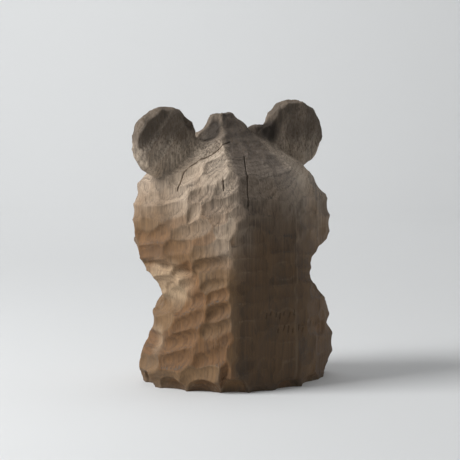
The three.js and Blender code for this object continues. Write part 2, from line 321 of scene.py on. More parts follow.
# %% Join the lumps
def apply_boolean(target, tool, operation):
    """Join or cut target with tool, then throw the tool away."""
    modifier = target.modifiers.new("boolean", "BOOLEAN")
    modifier.operation = operation
    modifier.solver = "MANIFOLD"
    modifier.object = tool
    depsgraph = bpy.context.evaluated_depsgraph_get()
    result = bpy.data.meshes.new_from_object(target.evaluated_get(depsgraph))
    target.modifiers.remove(modifier)
    target.data = result
    bpy.data.objects.remove(tool)


for lump in lumps:
    apply_boolean(bear, lump, "UNION")
print("Joined:", len(bear.data.vertices), "points")

# %% Shapes of the hollows
def hollow(at, size, bearing=0.0, subdivisions=5):
    """An egg-shaped cutter, turned about the upright axis."""
    cutter = ball("hollow", subdivisions)
    turned = (points_of(cutter) * np.array(size) / 2) @ turn_matrix((0, 0, bearing)).T
    set_points(cutter, turned + np.array(at))
    return cutter


def bite_out(bearing, level, size, bite, subdivisions=4):
    """A cutter that stands off the block's face, so that it bites in by a given depth."""
    out = block_outward(bearing, level)
    at = block_points(bearing, level) + out * (size[0] / 2 - bite)
    return hollow(at, size, math.degrees(math.atan2(out[1], out[0])), subdivisions)


eye_spread, eye_height, eye_width = 0.13 * height, 0.684 * height, 0.05 * height
mouth_at = (0, nose_tip + 0.013 * height, muzzle_height - 0.17 * muzzle_size[2])
hollows = [
    hollow(shares(0.329, -0.153, 0.355), shares(0.24, 0.4, 0.186), -31),
    bite_out(17, 0.335, shares(0.186, 0.206, 0.153), 0.023 * height),
    hollow(shares(-0.357, 0.194, 0.415), shares(0.252, 0.44, 0.225), -31),
    bite_out(150, 0.195, shares(0.12, 0.166, 0.073), 0.017 * height),
    hollow(mouth_at, (0.62 * muzzle_size[0], 0.44 * muzzle_size[1], 0.017 * height)),
]
for ear_at in (left_ear_at, right_ear_at):
    in_front = (ear_at[0], -0.63 * ear_size[1], ear_at[2])
    hollows.append(hollow(in_front, (1.25 * ear_radius, 0.86 * ear_size[1], 1.25 * ear_radius)))
for side in (1, -1):
    hollows.append(hollow(
        (side * eye_spread, -face_reach, eye_height), (2.2 * eye_width, 1.5 * eye_width, 1.8 * eye_width),
    ))
hollows.append(hollow(shares(0.124, 0.0, 0.954), shares(0.062, 0.09, 0.1)))  # a dark pit beside the crown
print("Hollows in the upper parts:", len(hollows))

# %% Scoops along the bottom edge, and all the cuts
edge_scoops = [  # bearing, then width, rise above the floor and bite as shares of the height
    (60, 0.113, 0.056, 0.043), (38, 0.133, 0.043, 0.027), (12, 0.113, 0.04, 0.03), (-14, 0.1, 0.04, 0.027),
    (82, 0.08, 0.02, 0.014), (108, 0.106, 0.036, 0.024), (137, 0.133, 0.026, 0.02), (168, 0.106, 0.04, 0.03),
    (-166, 0.12, 0.043, 0.027), (-142, 0.113, 0.04, 0.027),
]
for bearing, width, rise, bite in edge_scoops:
    hollows.append(bite_out(bearing, 0, shares(2.4 * bite, width, 2 * rise), bite * height))
for cutter in hollows:
    apply_boolean(bear, cutter, "DIFFERENCE")
print("Hollowed:", len(bear.data.vertices), "points")

# %% Eyes in their sockets
eye_centres = []
for side in (1, -1):
    surface = block_points(-90 + 34 * side, eye_height / height)
    eye = ball("eye", 4)
    eye_at = np.array([side * eye_spread, surface[1] + 0.4 * eye_width, eye_height])
    set_points(eye, points_of(eye) * eye_width / 2 + eye_at)
    apply_boolean(bear, eye, "UNION")
    eye_centres.append(eye_at)
print("With eyes:", len(bear.data.vertices), "points")

# %% [markdown]
# ## An even skin to carve
#
# Booleans leave long thin triangles, and a gouge stroke needs evenly spread points. A voxel remesh gives the
# whole bear one even skin. Narrow work, the cracks and the scratched marks, needs smaller faces, so the
# skin is divided again where they run.

# %% Remesh to an even skin
skin_size = 0.0021  # metres between neighbouring points
remesh = bear.modifiers.new("skin", "REMESH")
remesh.mode = "VOXEL"
remesh.voxel_size = skin_size
depsgraph = bpy.context.evaluated_depsgraph_get()
skin = bpy.data.meshes.new_from_object(bear.evaluated_get(depsgraph))
bear.modifiers.remove(remesh)
bear.data = skin
print("Even skin:", len(bear.data.polygons), "faces")

# %% Where the narrow work runs
cracks = {  # bearings in degrees and shares of the height, from end to end
    "long crack": [
        (15, 0.722), (16.3, 0.755), (17.5, 0.787), (22, 0.812), (30, 0.835), (38, 0.857), (47, 0.875),
        (58, 0.893), (69, 0.9),
    ],
    "back crack": [(70.7, 0.668), (71.2, 0.71), (73, 0.765), (75.5, 0.81), (79.5, 0.847)],
    "short crack": [(51.5, 0.73), (52, 0.772)],
}


def line_on_block(places):
    """Straight pieces between places on the block, each as its start, its end and the way out there."""
    pieces = []
    for (bearing_a, level_a), (bearing_b, level_b) in zip(places[:-1], places[1:]):
        start, end = block_points(bearing_a, level_a), block_points(bearing_b, level_b)
        pieces.append((start, end, block_outward((bearing_a + bearing_b) / 2, (level_a + level_b) / 2)))
    return pieces


def line_distances(points, pieces, reach=0.02):
    """Distance from each point to the nearest line piece, measured along the skin and not into it."""
    nearest = np.full(len(points), 1.0)
    for start, end, out in pieces:
        run = end - start
        offset = points - start
        near = np.linalg.norm(offset - run / 2, axis=1) < np.linalg.norm(run) / 2 + reach
        offset = offset[near] - (offset[near] @ out)[:, None] * out
        share = np.clip(offset @ run / (run @ run), 0, 1)
        nearest[near] = np.minimum(nearest[near], np.linalg.norm(offset - share[:, None] * run, axis=1))
    return nearest


cheek_crease = [(-6, 0.452), (2, 0.458), (12, 0.448), (22, 0.433), (31, 0.425)]
crease_pieces = line_on_block(cheek_crease)
crack_pieces = [piece for places in cracks.values() for piece in line_on_block(places)]
print("Cracks:", ", ".join(cracks))

# %% [markdown]
# Two short rows of scratched marks stand low on the back. They aren't letters: each is one short stroke of
# the knife that leans a little, and a loop spaces them out.

# %% Scratched marks
mark_pieces = []
mark_rows = ((86, 112, 7, 0.275), (97, 143, 11, 0.219))  # first and last bearing, count, share of the height
for first, last, count, level in mark_rows:
    for i in range(count):
        bearing = first + (last - first) * (i + 0.3 * uneven(i + count)) / (count - 0.7)
        slant = math.radians(8 + 10 * (uneven(i * 3 + count, second_step) - 0.5))
        middle = block_points(bearing, level + 0.014 * (uneven(i, third_step) - 0.5))
        out = block_outward(bearing, level)
        sideways = np.cross((0, 0, 1), out)
        run = math.cos(slant) * np.array([0, 0, 1]) + math.sin(slant) * sideways
        half = 0.0018 + 0.0022 * uneven(i * 7 + count)  # metres, half a mark's length
        mark_pieces.append((middle - run * half, middle + run * half, out))
print("Marks:", len(mark_pieces))

# %% Divide the skin where the narrow work runs
def divide_near(thing, wanted, cuts):
    """Cut the edges of thing whose two ends are wanted into cuts + 1 parts."""
    skin = bmesh.new()
    skin.from_mesh(thing.data)
    skin.verts.ensure_lookup_table()
    edges = [edge for edge in skin.edges if all(wanted[vertex.index] for vertex in edge.verts)]
    bmesh.ops.subdivide_edges(skin, edges=edges, cuts=cuts, use_grid_fill=True)
    skin.to_mesh(thing.data)
    skin.free()


crack_reach, mark_reach = 0.0036, 0.003  # metres of skin that are divided on each side
before = points_of(bear)
narrow = line_distances(before, crack_pieces) < crack_reach
narrow |= line_distances(before, mark_pieces) < mark_reach
divide_near(bear, narrow, 3)
print("Skin with its narrow work:", len(bear.data.polygons), "faces")

# %% [markdown]
# ## Strokes on the block
#
# The carver worked round the block in rows, one stroke beside the next. The rows climb a little as they go
# round. On the left flank the strokes break about where the photograph shows them break, and elsewhere they
# follow the size of the gouge. The CAD part has its rows of strokes at the same heights, only coarser.

# %% Rows of strokes round the block
stroke_length, stroke_depth = 0.16 * height, 0.018 * height
flank_breaks = [  # bearings where one stroke ends and the next begins, one list per row, from the floor up
    [60, 50, 20, -5], [60, 30, 5, -20], [60, 35, 5, -27], [60, 40, 15, -5], [60, 40, 15],
    [60, 35, 20, 0], [60, 30, 15, -5], [60, 30, 10, -10], [65, 45, 15, -10], [70, 35, 25, -5],
    [65, 45, 25, -5], [60, 35, 10], [60, 30, 0], [70, 20], [60, 0],
]
rows = len(flank_breaks)
climb_at_level = [  # share of the height, then how far the rows climb round the back there
    [0, 0], [0.1, 0.04], [0.2, 0.06], [0.3, 0.065], [0.4, 0.045], [0.5, 0.025], [0.6, 0.03], [0.7, 0.035],
    [0.8, 0.05], [0.9, 0.04], [1, 0],
]
depth_at_bearing = [  # the back was cut shallowly, the flanks boldly
    [-120, 1], [-30, 0.9], [10, 0.78], [50, 0.8], [64, 0.4], [80, 0.26], [112, 0.3], [128, 0.6], [200, 0.9],
    [240, 0.7], [300, 0.7], [335, 1], [360, 1],
]
slope_at_bearing = [[-120, 0], [-20, 0.1], [10, 0.25], [58, 0.2], [75, 0], [360, 0]]
climb_at_bearing = [[-42, 0], [0, 0.08], [60, 1], [90, 0.9], [120, 0.85], [180, 0.4], [250, 0.05], [318, 0]]


def climb(bearing):
    return along(climb_at_bearing, (np.asarray(bearing, float) + 42) % 360 - 42)


def breaks_of_row(row):
    """Bearings of the breaks right round the block in one row."""
    level = (row + 0.5) / rows
    on_flank = flank_breaks[row][::-1]
    on_flank[-1] += 4 * uneven(row, second_step) - 5  # the ends beside the back waver
    start, end = on_flank[-1], on_flank[0] + 360
    bearings = np.linspace(start, end, 73)
    levels = level + along(climb_at_level, level) * climb(bearings)
    girth = np.linalg.norm(np.diff(block_points(bearings, levels), axis=0), axis=1).sum()
    count = max(3, round(girth / stroke_length))
    rest = []
    for i in range(1, count + 1):
        share = 1 if i == count else (i + 0.6 * uneven(row * 5 + i) - 0.3) / count
        rest.append(start + (end - start) * share)
    return on_flank + rest


block_strokes = []
for row in range(rows):
    breaks = breaks_of_row(row)
    for i, (begin, end) in enumerate(zip(breaks[:-1], breaks[1:])):
        middle = (begin + end) / 2
        depth = stroke_depth * (0.65 + 0.6 * uneven(row * 11 + i, second_step))
        depth *= along(depth_at_bearing, middle)
        if row < 7 and middle < 60:  # the lower flank and the face side
            depth *= 1.2
        if row > 9 and 60 < middle < 140:  # the back of the head
            depth *= 1.7
        block_strokes.append({
            "middle": middle, "half": (end - begin) / 2, "depth": depth,
            "level": (row + 0.5) / rows + 0.4 * (uneven(row * 3 + i, third_step) - 0.5) / rows,
            "slope": along(slope_at_bearing, middle) + 0.4 * (uneven(row * 7 + i) - 0.5),
        })
print("Strokes on the block:", len(block_strokes))

# %% [markdown]
# ## A finer skin along the ridges
#
# Where two bowls meet, the line between them is the crisp ridge that a gouge leaves. A ridge that runs
# through the middle of a big face would be blunt. We first work out where the ridges will run on the lit
# flank, and divide the skin once more along them.

# %% Depth of the rows at any points
def bearing_and_level(at):
    """Bearing in degrees and share of the height of points on the block, allowing for the crown's lean."""
    level = at[:, 2] / height
    lean = smooth_step(0.7, 1, level)[:, None] * crown_lean
    return np.degrees(np.arctan2(at[:, 1] - lean[:, 1], at[:, 0] - lean[:, 0])), level


def wander(at, size, seed):
    """Smooth unevenness between -1 and 1 that changes over the given size in metres."""
    return np.array([noise.noise(Vector(point) / size + Vector((seed, seed * 2, seed * 3))) for point in at])


class Carving:
    """What the gouge has done so far at each point: the depth, the next depth, and which stroke won."""

    def __init__(self, at):
        self.at = at
        self.depth, self.second = np.zeros(len(at)), np.zeros(len(at))
        self.across = np.zeros(len(at))
        self.winner = np.full(len(at), -1)
        self.covered = np.zeros(len(at), bool)
        self.wobble_run, self.wobble_across = wander(at, 0.016, 3), wander(at, 0.013, 7)

    def cut(self, where, depth, across, number):
        """Let one stroke cut the points named by where, if it's deeper there than those before it."""
        deeper = depth > self.depth[where]
        self.second[where] = np.where(deeper, self.depth[where], np.maximum(self.second[where], depth))
        self.across[where] = np.where(deeper, across, self.across[where])
        self.winner[where] = np.where(deeper, number, self.winner[where])
        self.depth[where] = np.maximum(self.depth[where], depth)


def carve_rows(carving, share):
    """Cut all the rows of the block. The share says how much of the block's skin is left at each point."""
    bearing, level = bearing_and_level(carving.at)
    row_level = level - along(climb_at_level, level) * climb(bearing)
    for number, stroke in enumerate(block_strokes):
        turned = (bearing - stroke["middle"] + 180) % 360 - 180
        near = (np.abs(turned) < 1.25 * stroke["half"]) & (np.abs(row_level - stroke["level"]) < 1.3 / rows)
        where = np.flatnonzero(near)
        run = turned[where] / stroke["half"] + 0.1 * carving.wobble_run[where]
        across = (row_level[where] - stroke["level"]) * rows * 2 + 0.16 * carving.wobble_across[where]
        across -= stroke["slope"] * run
        depth = stroke["depth"] * (1 - 0.72 * across**2 - 0.85 * run**4) * share[where]
        carving.cut(where, depth, across, number)
        carving.covered[where[(share[where] > 0.4) & (across**2 < 1.2)]] = True


ridge_step = 0.0036  # metres between the deepest stroke and the next, beside a ridge
rough_points = points_of(bear)
rough = Carving(rough_points)
carve_rows(rough, np.ones(len(rough_points)))
rough_bearing, rough_level = bearing_and_level(rough_points)
beside_ridge = (rough.depth - rough.second < ridge_step) & (rough.second > 0)
on_flank = (rough_bearing > -45) & (rough_bearing < 72) & (rough_level > 0) & (rough_level < 0.86)
divide_near(bear, beside_ridge & on_flank, 1)
print("Skin with fine ridges:", len(bear.data.polygons), "faces")

# %% [markdown]
# ## The way out of the wood
#
# A gouge cuts inwards, so every point needs to know which way is in. The normals of a mesh turn sharply at
# creases, which would tear neighbouring points apart. Averaging each normal with its neighbours a few times
# gives directions that change gently. The carver also left wood in the corners where the ears meet the head,
# so those corners are filled a little first.

# %% Smoothed outward directions
def edges_of(thing):
    pairs = np.empty(len(thing.data.edges) * 2, int)
    thing.data.edges.foreach_get("vertices", pairs)
    return pairs.reshape(-1, 2)


def neighbour_mean(values, pairs, times):
    """Average each point's value with its neighbours' values, a number of times."""
    count = np.bincount(pairs.ravel(), minlength=len(values)) + 1
    for _ in range(times):
        total = values.copy()
        for column in range(values.shape[1]):
            total[:, column] += np.bincount(pairs[:, 0], values[pairs[:, 1], column], len(values))
            total[:, column] += np.bincount(pairs[:, 1], values[pairs[:, 0], column], len(values))
        values = total / count[:, None]
    return values


points = points_of(bear)
pairs = edges_of(bear)
softened = neighbour_mean(points, pairs, 60)
skin_normals = neighbour_mean(points_of(bear, "normal"), pairs, 3)
for ear_at, side in ((left_ear_at, 1), (right_ear_at, -1)):
    from_ear = points[:, [0, 2]] - np.array(ear_at)[[0, 2]]
    distance = np.linalg.norm(from_ear, axis=1) / ear_radius
    towards_head = (from_ear @ np.array([-0.8 * side, -0.6])) / (distance * ear_radius + 1e-9)
    share = smooth_step(0.6, 0.85, distance) * smooth_step(1.6, 1.2, distance)
    share *= smooth_step(0.1, 0.6, towards_head)
    share *= points[:, 2] > 0.72 * height
    filled_up = np.maximum(((softened - points) * skin_normals).sum(1), 0)
    points += (share * filled_up)[:, None] * skin_normals
set_points(bear, points)
outward = neighbour_mean(points_of(bear, "normal"), pairs, 8)
outward /= np.linalg.norm(outward, axis=1, keepdims=True)
print("Points to carve:", len(points))

# %% [markdown]
# ## Carving the strokes
#
# Each stroke is a shallow bowl, longer than it is high, and the deeper of two bowls wins. For every point we
# remember the depth, which stroke cut it and how far the next one was, because the finish of the wood depends
# on them.

# %% Carve the block's rows
carving = Carving(points)
bearing, level = bearing_and_level(points)
block_gap = np.abs(((points - block_points(bearing, level)) * outward).sum(1))
on_block = 1 - smooth_step(0.0015, 0.006, block_gap)
carve_rows(carving, on_block)
print("Deepest stroke:", round(carving.depth.max() * 1000, 1), "mm; points covered:", carving.covered.sum())

# %% Keep the gouge off the eyes and the mouth
carvable = np.ones(len(points))
for centre in eye_centres:
    carvable *= smooth_step(0.5 * eye_width, 0.75 * eye_width, np.linalg.norm(points - centre, axis=1))
in_mouth = np.abs(points[:, 2] - mouth_at[2]) < 0.012 * height
in_mouth &= (points[:, 1] < -face_reach) & (np.abs(points[:, 0]) < 0.31 * muzzle_size[0])
carvable[in_mouth] = 0
print("Points left alone:", np.count_nonzero(carvable < 0.5))

# %% Carve the lumps
def carve_patch(stroke, number):
    """Carve one stroke that lies on the skin nearest to a place, whatever the shape there."""
    _, nearest, distance = tree.find(stroke["at"])
    if distance > 0.006:
        return
    out = outward[nearest]
    level_way = np.cross((0, 0, 1), out) + 1e-6
    level_way /= np.linalg.norm(level_way)
    steep_way = np.cross(out, level_way)
    tilt = math.radians(stroke["tilt"])
    run_way = math.cos(tilt) * level_way + math.sin(tilt) * steep_way
    cross_way = np.cross(out, run_way)
    half_run, half_cross = stroke["length"] / 2, stroke["width"] / 2
    found = [index for _, index, _ in tree.find_range(points[nearest], 1.3 * max(half_run, half_cross))]
    where = np.array(found)
    offset = points[where] - points[nearest]
    facing = outward[where] @ out
    away = offset @ out
    run = offset @ run_way / half_run + 0.1 * carving.wobble_run[where]
    across = offset @ cross_way / half_cross + 0.14 * carving.wobble_across[where]
    depth = stroke["depth"] * (1 - 0.72 * across**2 - 0.85 * run**2) + 0.8 * np.minimum(away, 0)
    depth *= smooth_step(0.2, 0.6, facing) * carvable[where]
    carving.cut(where, depth, across, number)
    carving.covered[where[(run**2 + across**2 < 1) & (facing > 0.5)]] = True


tree = KDTree(len(points))
for index, point in enumerate(points):
    tree.insert(point, index)
tree.balance()
stroke_count = len(block_strokes)
for stroke in strokes:
    carve_patch(stroke, stroke_count)
    stroke_count += 1
print("Strokes so far:", stroke_count)

# %% Fill in whatever is still smooth
bare = np.flatnonzero(~carving.covered & (carvable > 0.9) & (points[:, 2] > -0.5 * spare_below * height))
order = np.argsort(uneven(bare * 1.0))
filled = 0
for index in bare[order]:
    if carving.covered[index]:
        continue
    carve_patch({
        "at": points[index], "tilt": 40 * (uneven(filled, second_step) - 0.5), "length": 0.036,
        "width": 0.019 + 0.005 * uneven(filled), "depth": 0.0022 + 0.0014 * uneven(filled, third_step),
    }, stroke_count)
    stroke_count += 1
    filled += 1
print("Strokes in all:", stroke_count, "of which", filled, "fill hollows and corners")

# %% [markdown]
# ## Cracks, scratches and rough end grain
#
# Drying opened a few long cracks near the crown. Each is a narrow groove in the mesh, and so is each
# scratched mark. A wider groove makes the crease under the cheek, and two dips deepen the pits beside the
# crown. On the crown and the ears the gouge met end grain, which tears instead of cutting cleanly, so the
# skin there gets a small coarse unevenness of its own.

# %% Where the grooves and dips lie
def groove(gap, half_width):
    """1 along the middle of a groove, down to 0 at its edges."""
    return np.clip(1 - (gap / half_width) ** 2, 0, 1)


crack_gap = line_distances(points, crack_pieces)
mark_gap = line_distances(points, mark_pieces)
crack_half, mark_half, crease_half, lid_half = 0.0007, 0.0008, 0.0065, 0.0024  # metres, half widths
crack_gap = np.maximum(crack_gap + 0.0004 * wander(points, 0.004, 11), 0)
in_crack = groove(crack_gap, crack_half) * on_block
in_mark = groove(mark_gap, mark_half) * on_block
crease_gap = line_distances(points, crease_pieces, 0.03)
in_crease = groove(crease_gap, crease_half) ** 1.5
end_grain = smooth_step(0.77, 0.88, points[:, 2] / height) * carvable
pit_places = shares(0.115, 0.01, 0.945), shares(-0.14, 0.012, 0.925)
pit_gap = np.min([np.linalg.norm(points - pit, axis=1) for pit in pit_places], axis=0)
in_pit = smooth_step(0.024, 0.01, pit_gap)
eye_gap = np.min([np.linalg.norm(points - centre, axis=1) for centre in eye_centres], axis=0)
round_eye = groove(eye_gap - 0.62 * eye_width, lid_half)
print("Points in cracks and marks:", np.count_nonzero(in_crack + in_mark))

# %% Move the points
eye_cut, pit_cut, crease_cut = 0.002, 0.003, 0.005  # metres
crack_cut, mark_cut, torn_cut, wavy_cut = 0.0032, 0.0011, 0.0007, 0.0002
torn = wander(points, 0.0075, 5) + 0.6 * wander(points, 0.0036, 9)
depth = carving.depth + eye_cut * round_eye + pit_cut * in_pit + crease_cut * in_crease
depth = depth + crack_cut * in_crack + mark_cut * in_mark + torn_cut * end_grain * (torn + 1)
depth += wavy_cut * (1 - end_grain) * carvable * (wander(points, 0.009, 13) + 1)
carved = points - outward * depth[:, None]
set_points(bear, carved)
print("Mean depth of the carving:", round(float(depth.mean()) * 1000, 2), "mm")

# %% [markdown]
# The finish depends on how each place was cut. So a few numbers are kept on the points, and the material
# reads them by name: the tone of the stroke, how near a ridge is, how far across the stroke the point lies,
# the cracks and other places painted with shade, the torn end grain and the back's painted shade.

# %% Remember how each point was cut
def keep_on_points(thing, name, values):
    """Store one number per point, which the material can read by name."""
    layer = thing.data.attributes.new(name, "FLOAT", "POINT")
    layer.data.foreach_set("value", np.ascontiguousarray(values, np.float32))


tone = np.where(carving.winner < 0, 0.5, uneven(carving.winner * 1.0, second_step))
tone = neighbour_mean(tone[:, None], pairs, 1)[:, 0]
ridge = np.exp(-(carving.depth - carving.second) / 0.0005) * (carving.second > 0)
ridge = neighbour_mean(ridge[:, None], pairs, 1)[:, 0]
keep_on_points(bear, "tone", tone)
# Wear and a painted highlight: a paler line runs down the corner between the back and the right flank.
wear_and_highlight_corner = 113  # degrees, the corner between the back and the right flank
from_corner = bearing - wear_and_highlight_corner - 3 * carving.wobble_run
corner_wear_and_highlight = np.exp(-(from_corner / 2.2) ** 2) * (1 - smooth_step(0.66, 0.76, level))
ridge = np.maximum(ridge, 0.75 * corner_wear_and_highlight * on_block)
keep_on_points(bear, "ridge", ridge)
keep_on_points(bear, "across", np.clip(carving.across, -1.5, 1.5))
# Painted shade: the cracks, the scratched marks, the groove round each eye and the pits beside the crown
# share one number, kept as crack, which the material paints dark.
recess_shade_lines = [in_crack, 0.65 * in_mark, 0.5 * round_eye, 0.85 * in_pit]
keep_on_points(bear, "crack", np.maximum.reduce(recess_shade_lines))
keep_on_points(bear, "end_grain", end_grain)
# Painted shade: the back, more strongly on the roof, and the faces of the ears are marked to be painted
# darker.
back_painted_shade = smooth_step(58, 66, bearing) * (1 - 0.7 * smooth_step(116, 136, bearing))
back_painted_shade *= 1 - smooth_step(170, 178, bearing)
on_roof = smooth_step(0.74, 0.84, level)
on_ear_face = smooth_step(0.8, 0.84, level) * (1 - on_block) * smooth_step(0.5, 0.8, outward[:, 1])
back_painted_shade = np.maximum(back_painted_shade * on_block * (0.7 + 0.3 * on_roof), 0.33 * on_ear_face)
keep_on_points(bear, "back", back_painted_shade)
print("Kept on the points:", ", ".join(bear.data.attributes.keys()))

# %% Saw the underside level
def saw_level(thing):
    """Cut everything under the floor line away and close the cut with one flat face."""
    skin = bmesh.new()
    skin.from_mesh(thing.data)
    everything = skin.verts[:] + skin.edges[:] + skin.faces[:]
    bmesh.ops.bisect_plane(skin, geom=everything, plane_co=(0, 0, 0), plane_no=(0, 0, -1), clear_outer=True)
    rim = [edge for edge in skin.edges if edge.is_boundary]
    bmesh.ops.holes_fill(skin, edges=rim, sides=0)
    bmesh.ops.recalc_face_normals(skin, faces=skin.faces[:])
    open_edges = sum(edge.is_boundary for edge in skin.edges)
    triangles = sum(len(face.verts) - 2 for face in skin.faces)
    skin.to_mesh(thing.data)
    skin.free()
    return open_edges, triangles


open_edges, triangles = saw_level(bear)
bear.data.shade_smooth()
print("Open edges:", open_edges, "triangles:", triangles)

# %% [markdown]
# The CAD part stands with the middle of its box over the origin. We move the carved bear the same way, then
# check that it stays inside that box.

# %% Stand it where the CAD part stands
finished = points_of(bear)
middle = (finished.min(0) + finished.max(0)) / 2
finished[:, :2] += ((low + high) / 2 - middle)[:2]
reach_now = finished.max(0) - finished.min(0)
fit = np.minimum(1, (high - low) / reach_now)
finished[:, :2] = (finished[:, :2] - (low + high)[:2] / 2) * fit[:2] + (low + high)[:2] / 2
finished[:, 2] *= fit[2]
set_points(bear, finished)
print("Moved by", np.round(((low + high) / 2 - middle)[:2] * 1000, 1), "mm, fitted by", np.round(fit, 4))
print("Box in mm:", np.round(finished.min(0) * 1000, 1), np.round(finished.max(0) * 1000, 1))

# %% Name the piece for the frame
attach(bear, "root")
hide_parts(node)
print("The bear stands for the CAD part", node)

# %% [markdown]
# ## Weathered wood
#
# Solid wood isn't a flat picture glued to a surface. The rings and the fibres run through the whole log, and
# every cut shows another slice of them. So the material works from the place of each point in space: the
# distance from the pith gives the rings, and noise that is stretched along the trunk gives the fibres. A
# scoop then shows ovals and the end grain shows arcs, with no image at all.

# %% A short way to wire shader nodes
wood = bpy.data.materials.new("weathered wood")
wood.use_nodes = True
tree_nodes, tree_links = wood.node_tree.nodes, wood.node_tree.links
tree_nodes.clear()


def feed(socket, value):
    """Link a socket to another one, or set it to a plain value."""
    if isinstance(value, bpy.types.NodeSocket):
        tree_links.new(value, socket)
    else:
        socket.default_value = value


def add_node(kind, settings=(), **inputs):
    """A shader node. Its inputs are given by name, with _ for a space, as values or sockets."""
    made = tree_nodes.new("ShaderNode" + kind)
    for name, value in dict(settings).items():
        setattr(made, name, value)
    for name, value in inputs.items():
        feed(made.inputs[name.replace("_", " ")], value)
    return made


def maths(operation, *values, clamp=False):
    made = add_node("Math", {"operation": operation, "use_clamp": clamp})
    for socket, value in zip(made.inputs, values):
        feed(socket, value)
    return made.outputs[0]


def times(first, second):
    return maths("MULTIPLY", first, second)


def plus(first, second, clamp=False):
    return maths("ADD", first, second, clamp=clamp)


def minus(first, second):
    return maths("SUBTRACT", first, second)


def swing(value, size):
    """Noise about zero, times a size."""
    return times(minus(value, 0.5), size)


def vector_maths(operation, *values):
    made = add_node("VectorMath", {"operation": operation})
    for socket, value in zip(made.inputs, values):
        feed(socket, value)
    return made.outputs["Value"] if operation in ("LENGTH", "DOT_PRODUCT") else made.outputs[0]


print("An empty node tree for the", wood.name)

# %% Ranges, mixes and noise
def remap(value, start, end, low_value=0.0, high_value=1.0):
    """Smoothly take start..end to low_value..high_value."""
    made = add_node("MapRange", {"interpolation_type": "SMOOTHSTEP"}, Value=value)
    limits = {"From Min": start, "From Max": end, "To Min": low_value, "To Max": high_value}
    for name, number in limits.items():
        feed(made.inputs[name], number)
    return made.outputs[0]


def mixed(share, first, second, blend="MIX"):
    """Mix two colours, or a colour with a grey, by a share from 0 to 1."""
    made = add_node("Mix", {"data_type": "RGBA", "blend_type": blend, "clamp_factor": True})
    feed(made.inputs[0], share)
    feed(made.inputs[6], first)
    feed(made.inputs[7], second)
    return made.outputs[2]


def tinted(share, colour, tint):
    return mixed(share, colour, mixed(1.0, colour, tint, "MULTIPLY"))


def carved_value(name):
    return add_node("Attribute", {"attribute_name": name}).outputs["Fac"]


def grain_noise(scale, detail=3.0, roughness=0.55):
    """Noise whose size along each axis is 1 / scale metres."""
    stretched = vector_maths("MULTIPLY", place, scale)
    made = add_node("TexNoise", {"noise_dimensions": "3D"}, Vector=stretched, Scale=1.0, Detail=detail)
    feed(made.inputs["Roughness"], roughness)
    return made.outputs["Fac"]


place = add_node("TexCoord").outputs["Object"]
print("Wood nodes so far:", len(tree_nodes))

# %% Rings about the pith
pith = (0.018, -0.012, 0)  # metres, a little off the middle of the block
ring_width = 0.0033  # metres
bent = add_node("TexNoise", Vector=vector_maths("MULTIPLY", place, (7, 7, 4)), Scale=1.0, Detail=2.0)
sway = vector_maths("SUBTRACT", bent.outputs["Color"], (0.5, 0.5, 0.5))
sway = vector_maths("MULTIPLY", sway, (0.022, 0.022, 0))
from_pith = vector_maths("ADD", vector_maths("SUBTRACT", place, pith), sway)
from_pith = vector_maths("MULTIPLY", from_pith, (1, 1, 0.05))
ring_count = maths("DIVIDE", vector_maths("LENGTH", from_pith), ring_width)
ring_count = plus(ring_count, times(grain_noise((420, 420, 30)), 0.5))
ring_phase = maths("FRACT", ring_count)
torn_grain = carved_value("end_grain")
late_wood = times(remap(ring_phase, 0.35, 0.86), remap(ring_phase, 1.0, 0.92))
late_wood = times(late_wood, maths("MULTIPLY_ADD", torn_grain, -0.6, 1.0))
year = add_node("TexWhiteNoise", {"noise_dimensions": "1D"}, W=maths("FLOOR", ring_count)).outputs["Value"]
print("Rings every", ring_width * 1000, "mm")

# %% Fibres, specks and stains
fine_fibre = grain_noise((1100, 1100, 26), 4.0, 0.6)
broad_fibre = grain_noise((330, 330, 9), 3.0, 0.6)
specks = grain_noise((520, 520, 240), 3.0, 0.7)
blotches = grain_noise((34, 34, 22), 4.0, 0.6)
clouds = grain_noise((13, 13, 9), 3.0, 0.55)
full_height = 0.3149  # metres, to the top of the higher ear
upright_share = vector_maths("DOT_PRODUCT", place, (0, 0, 1 / full_height))
tone = carved_value("tone")
ridge_line = carved_value("ridge")
painted_recess_shade = carved_value("crack")
back = carved_value("back")
stroke_side = carved_value("across")
print("Wood nodes so far:", len(tree_nodes))

# %% [markdown]
# The wood grows greyer from the foot to the crown. So each height mixes its own share of honey brown with
# driftwood grey, and the crown and the ears turn smoky. Fibres, rings and each stroke's own tone shift a
# place between its bright and its dark colour. The ridges are rubbed paler and carry a painted highlight,
# strongest on the lit flank, and painted shade darkens the back, the roof and the faces of the ears.

# %% Colours of the wood
honey = (0.208, 0.122, 0.058, 1)
umber = (0.095, 0.058, 0.031, 1)
driftwood = (0.62, 0.508, 0.395, 1)
slate = (0.105, 0.086, 0.067, 1)
smoke = (0.222, 0.175, 0.133, 1)
soot = (0.06, 0.048, 0.037, 1)
pale = (0.74, 0.56, 0.37, 1)
# Pale colour of rubbed ridges and of the highlight painted on them.
dust_and_highlight = (0.36, 0.275, 0.19, 1)
recess_shade_black = (0.012, 0.009, 0.007, 1)
amber_tint = (1.2, 0.96, 0.74, 1)
shaded_tint = (0.38, 0.38, 0.4, 1)
print("From honey", honey[:3], "to driftwood", driftwood[:3])

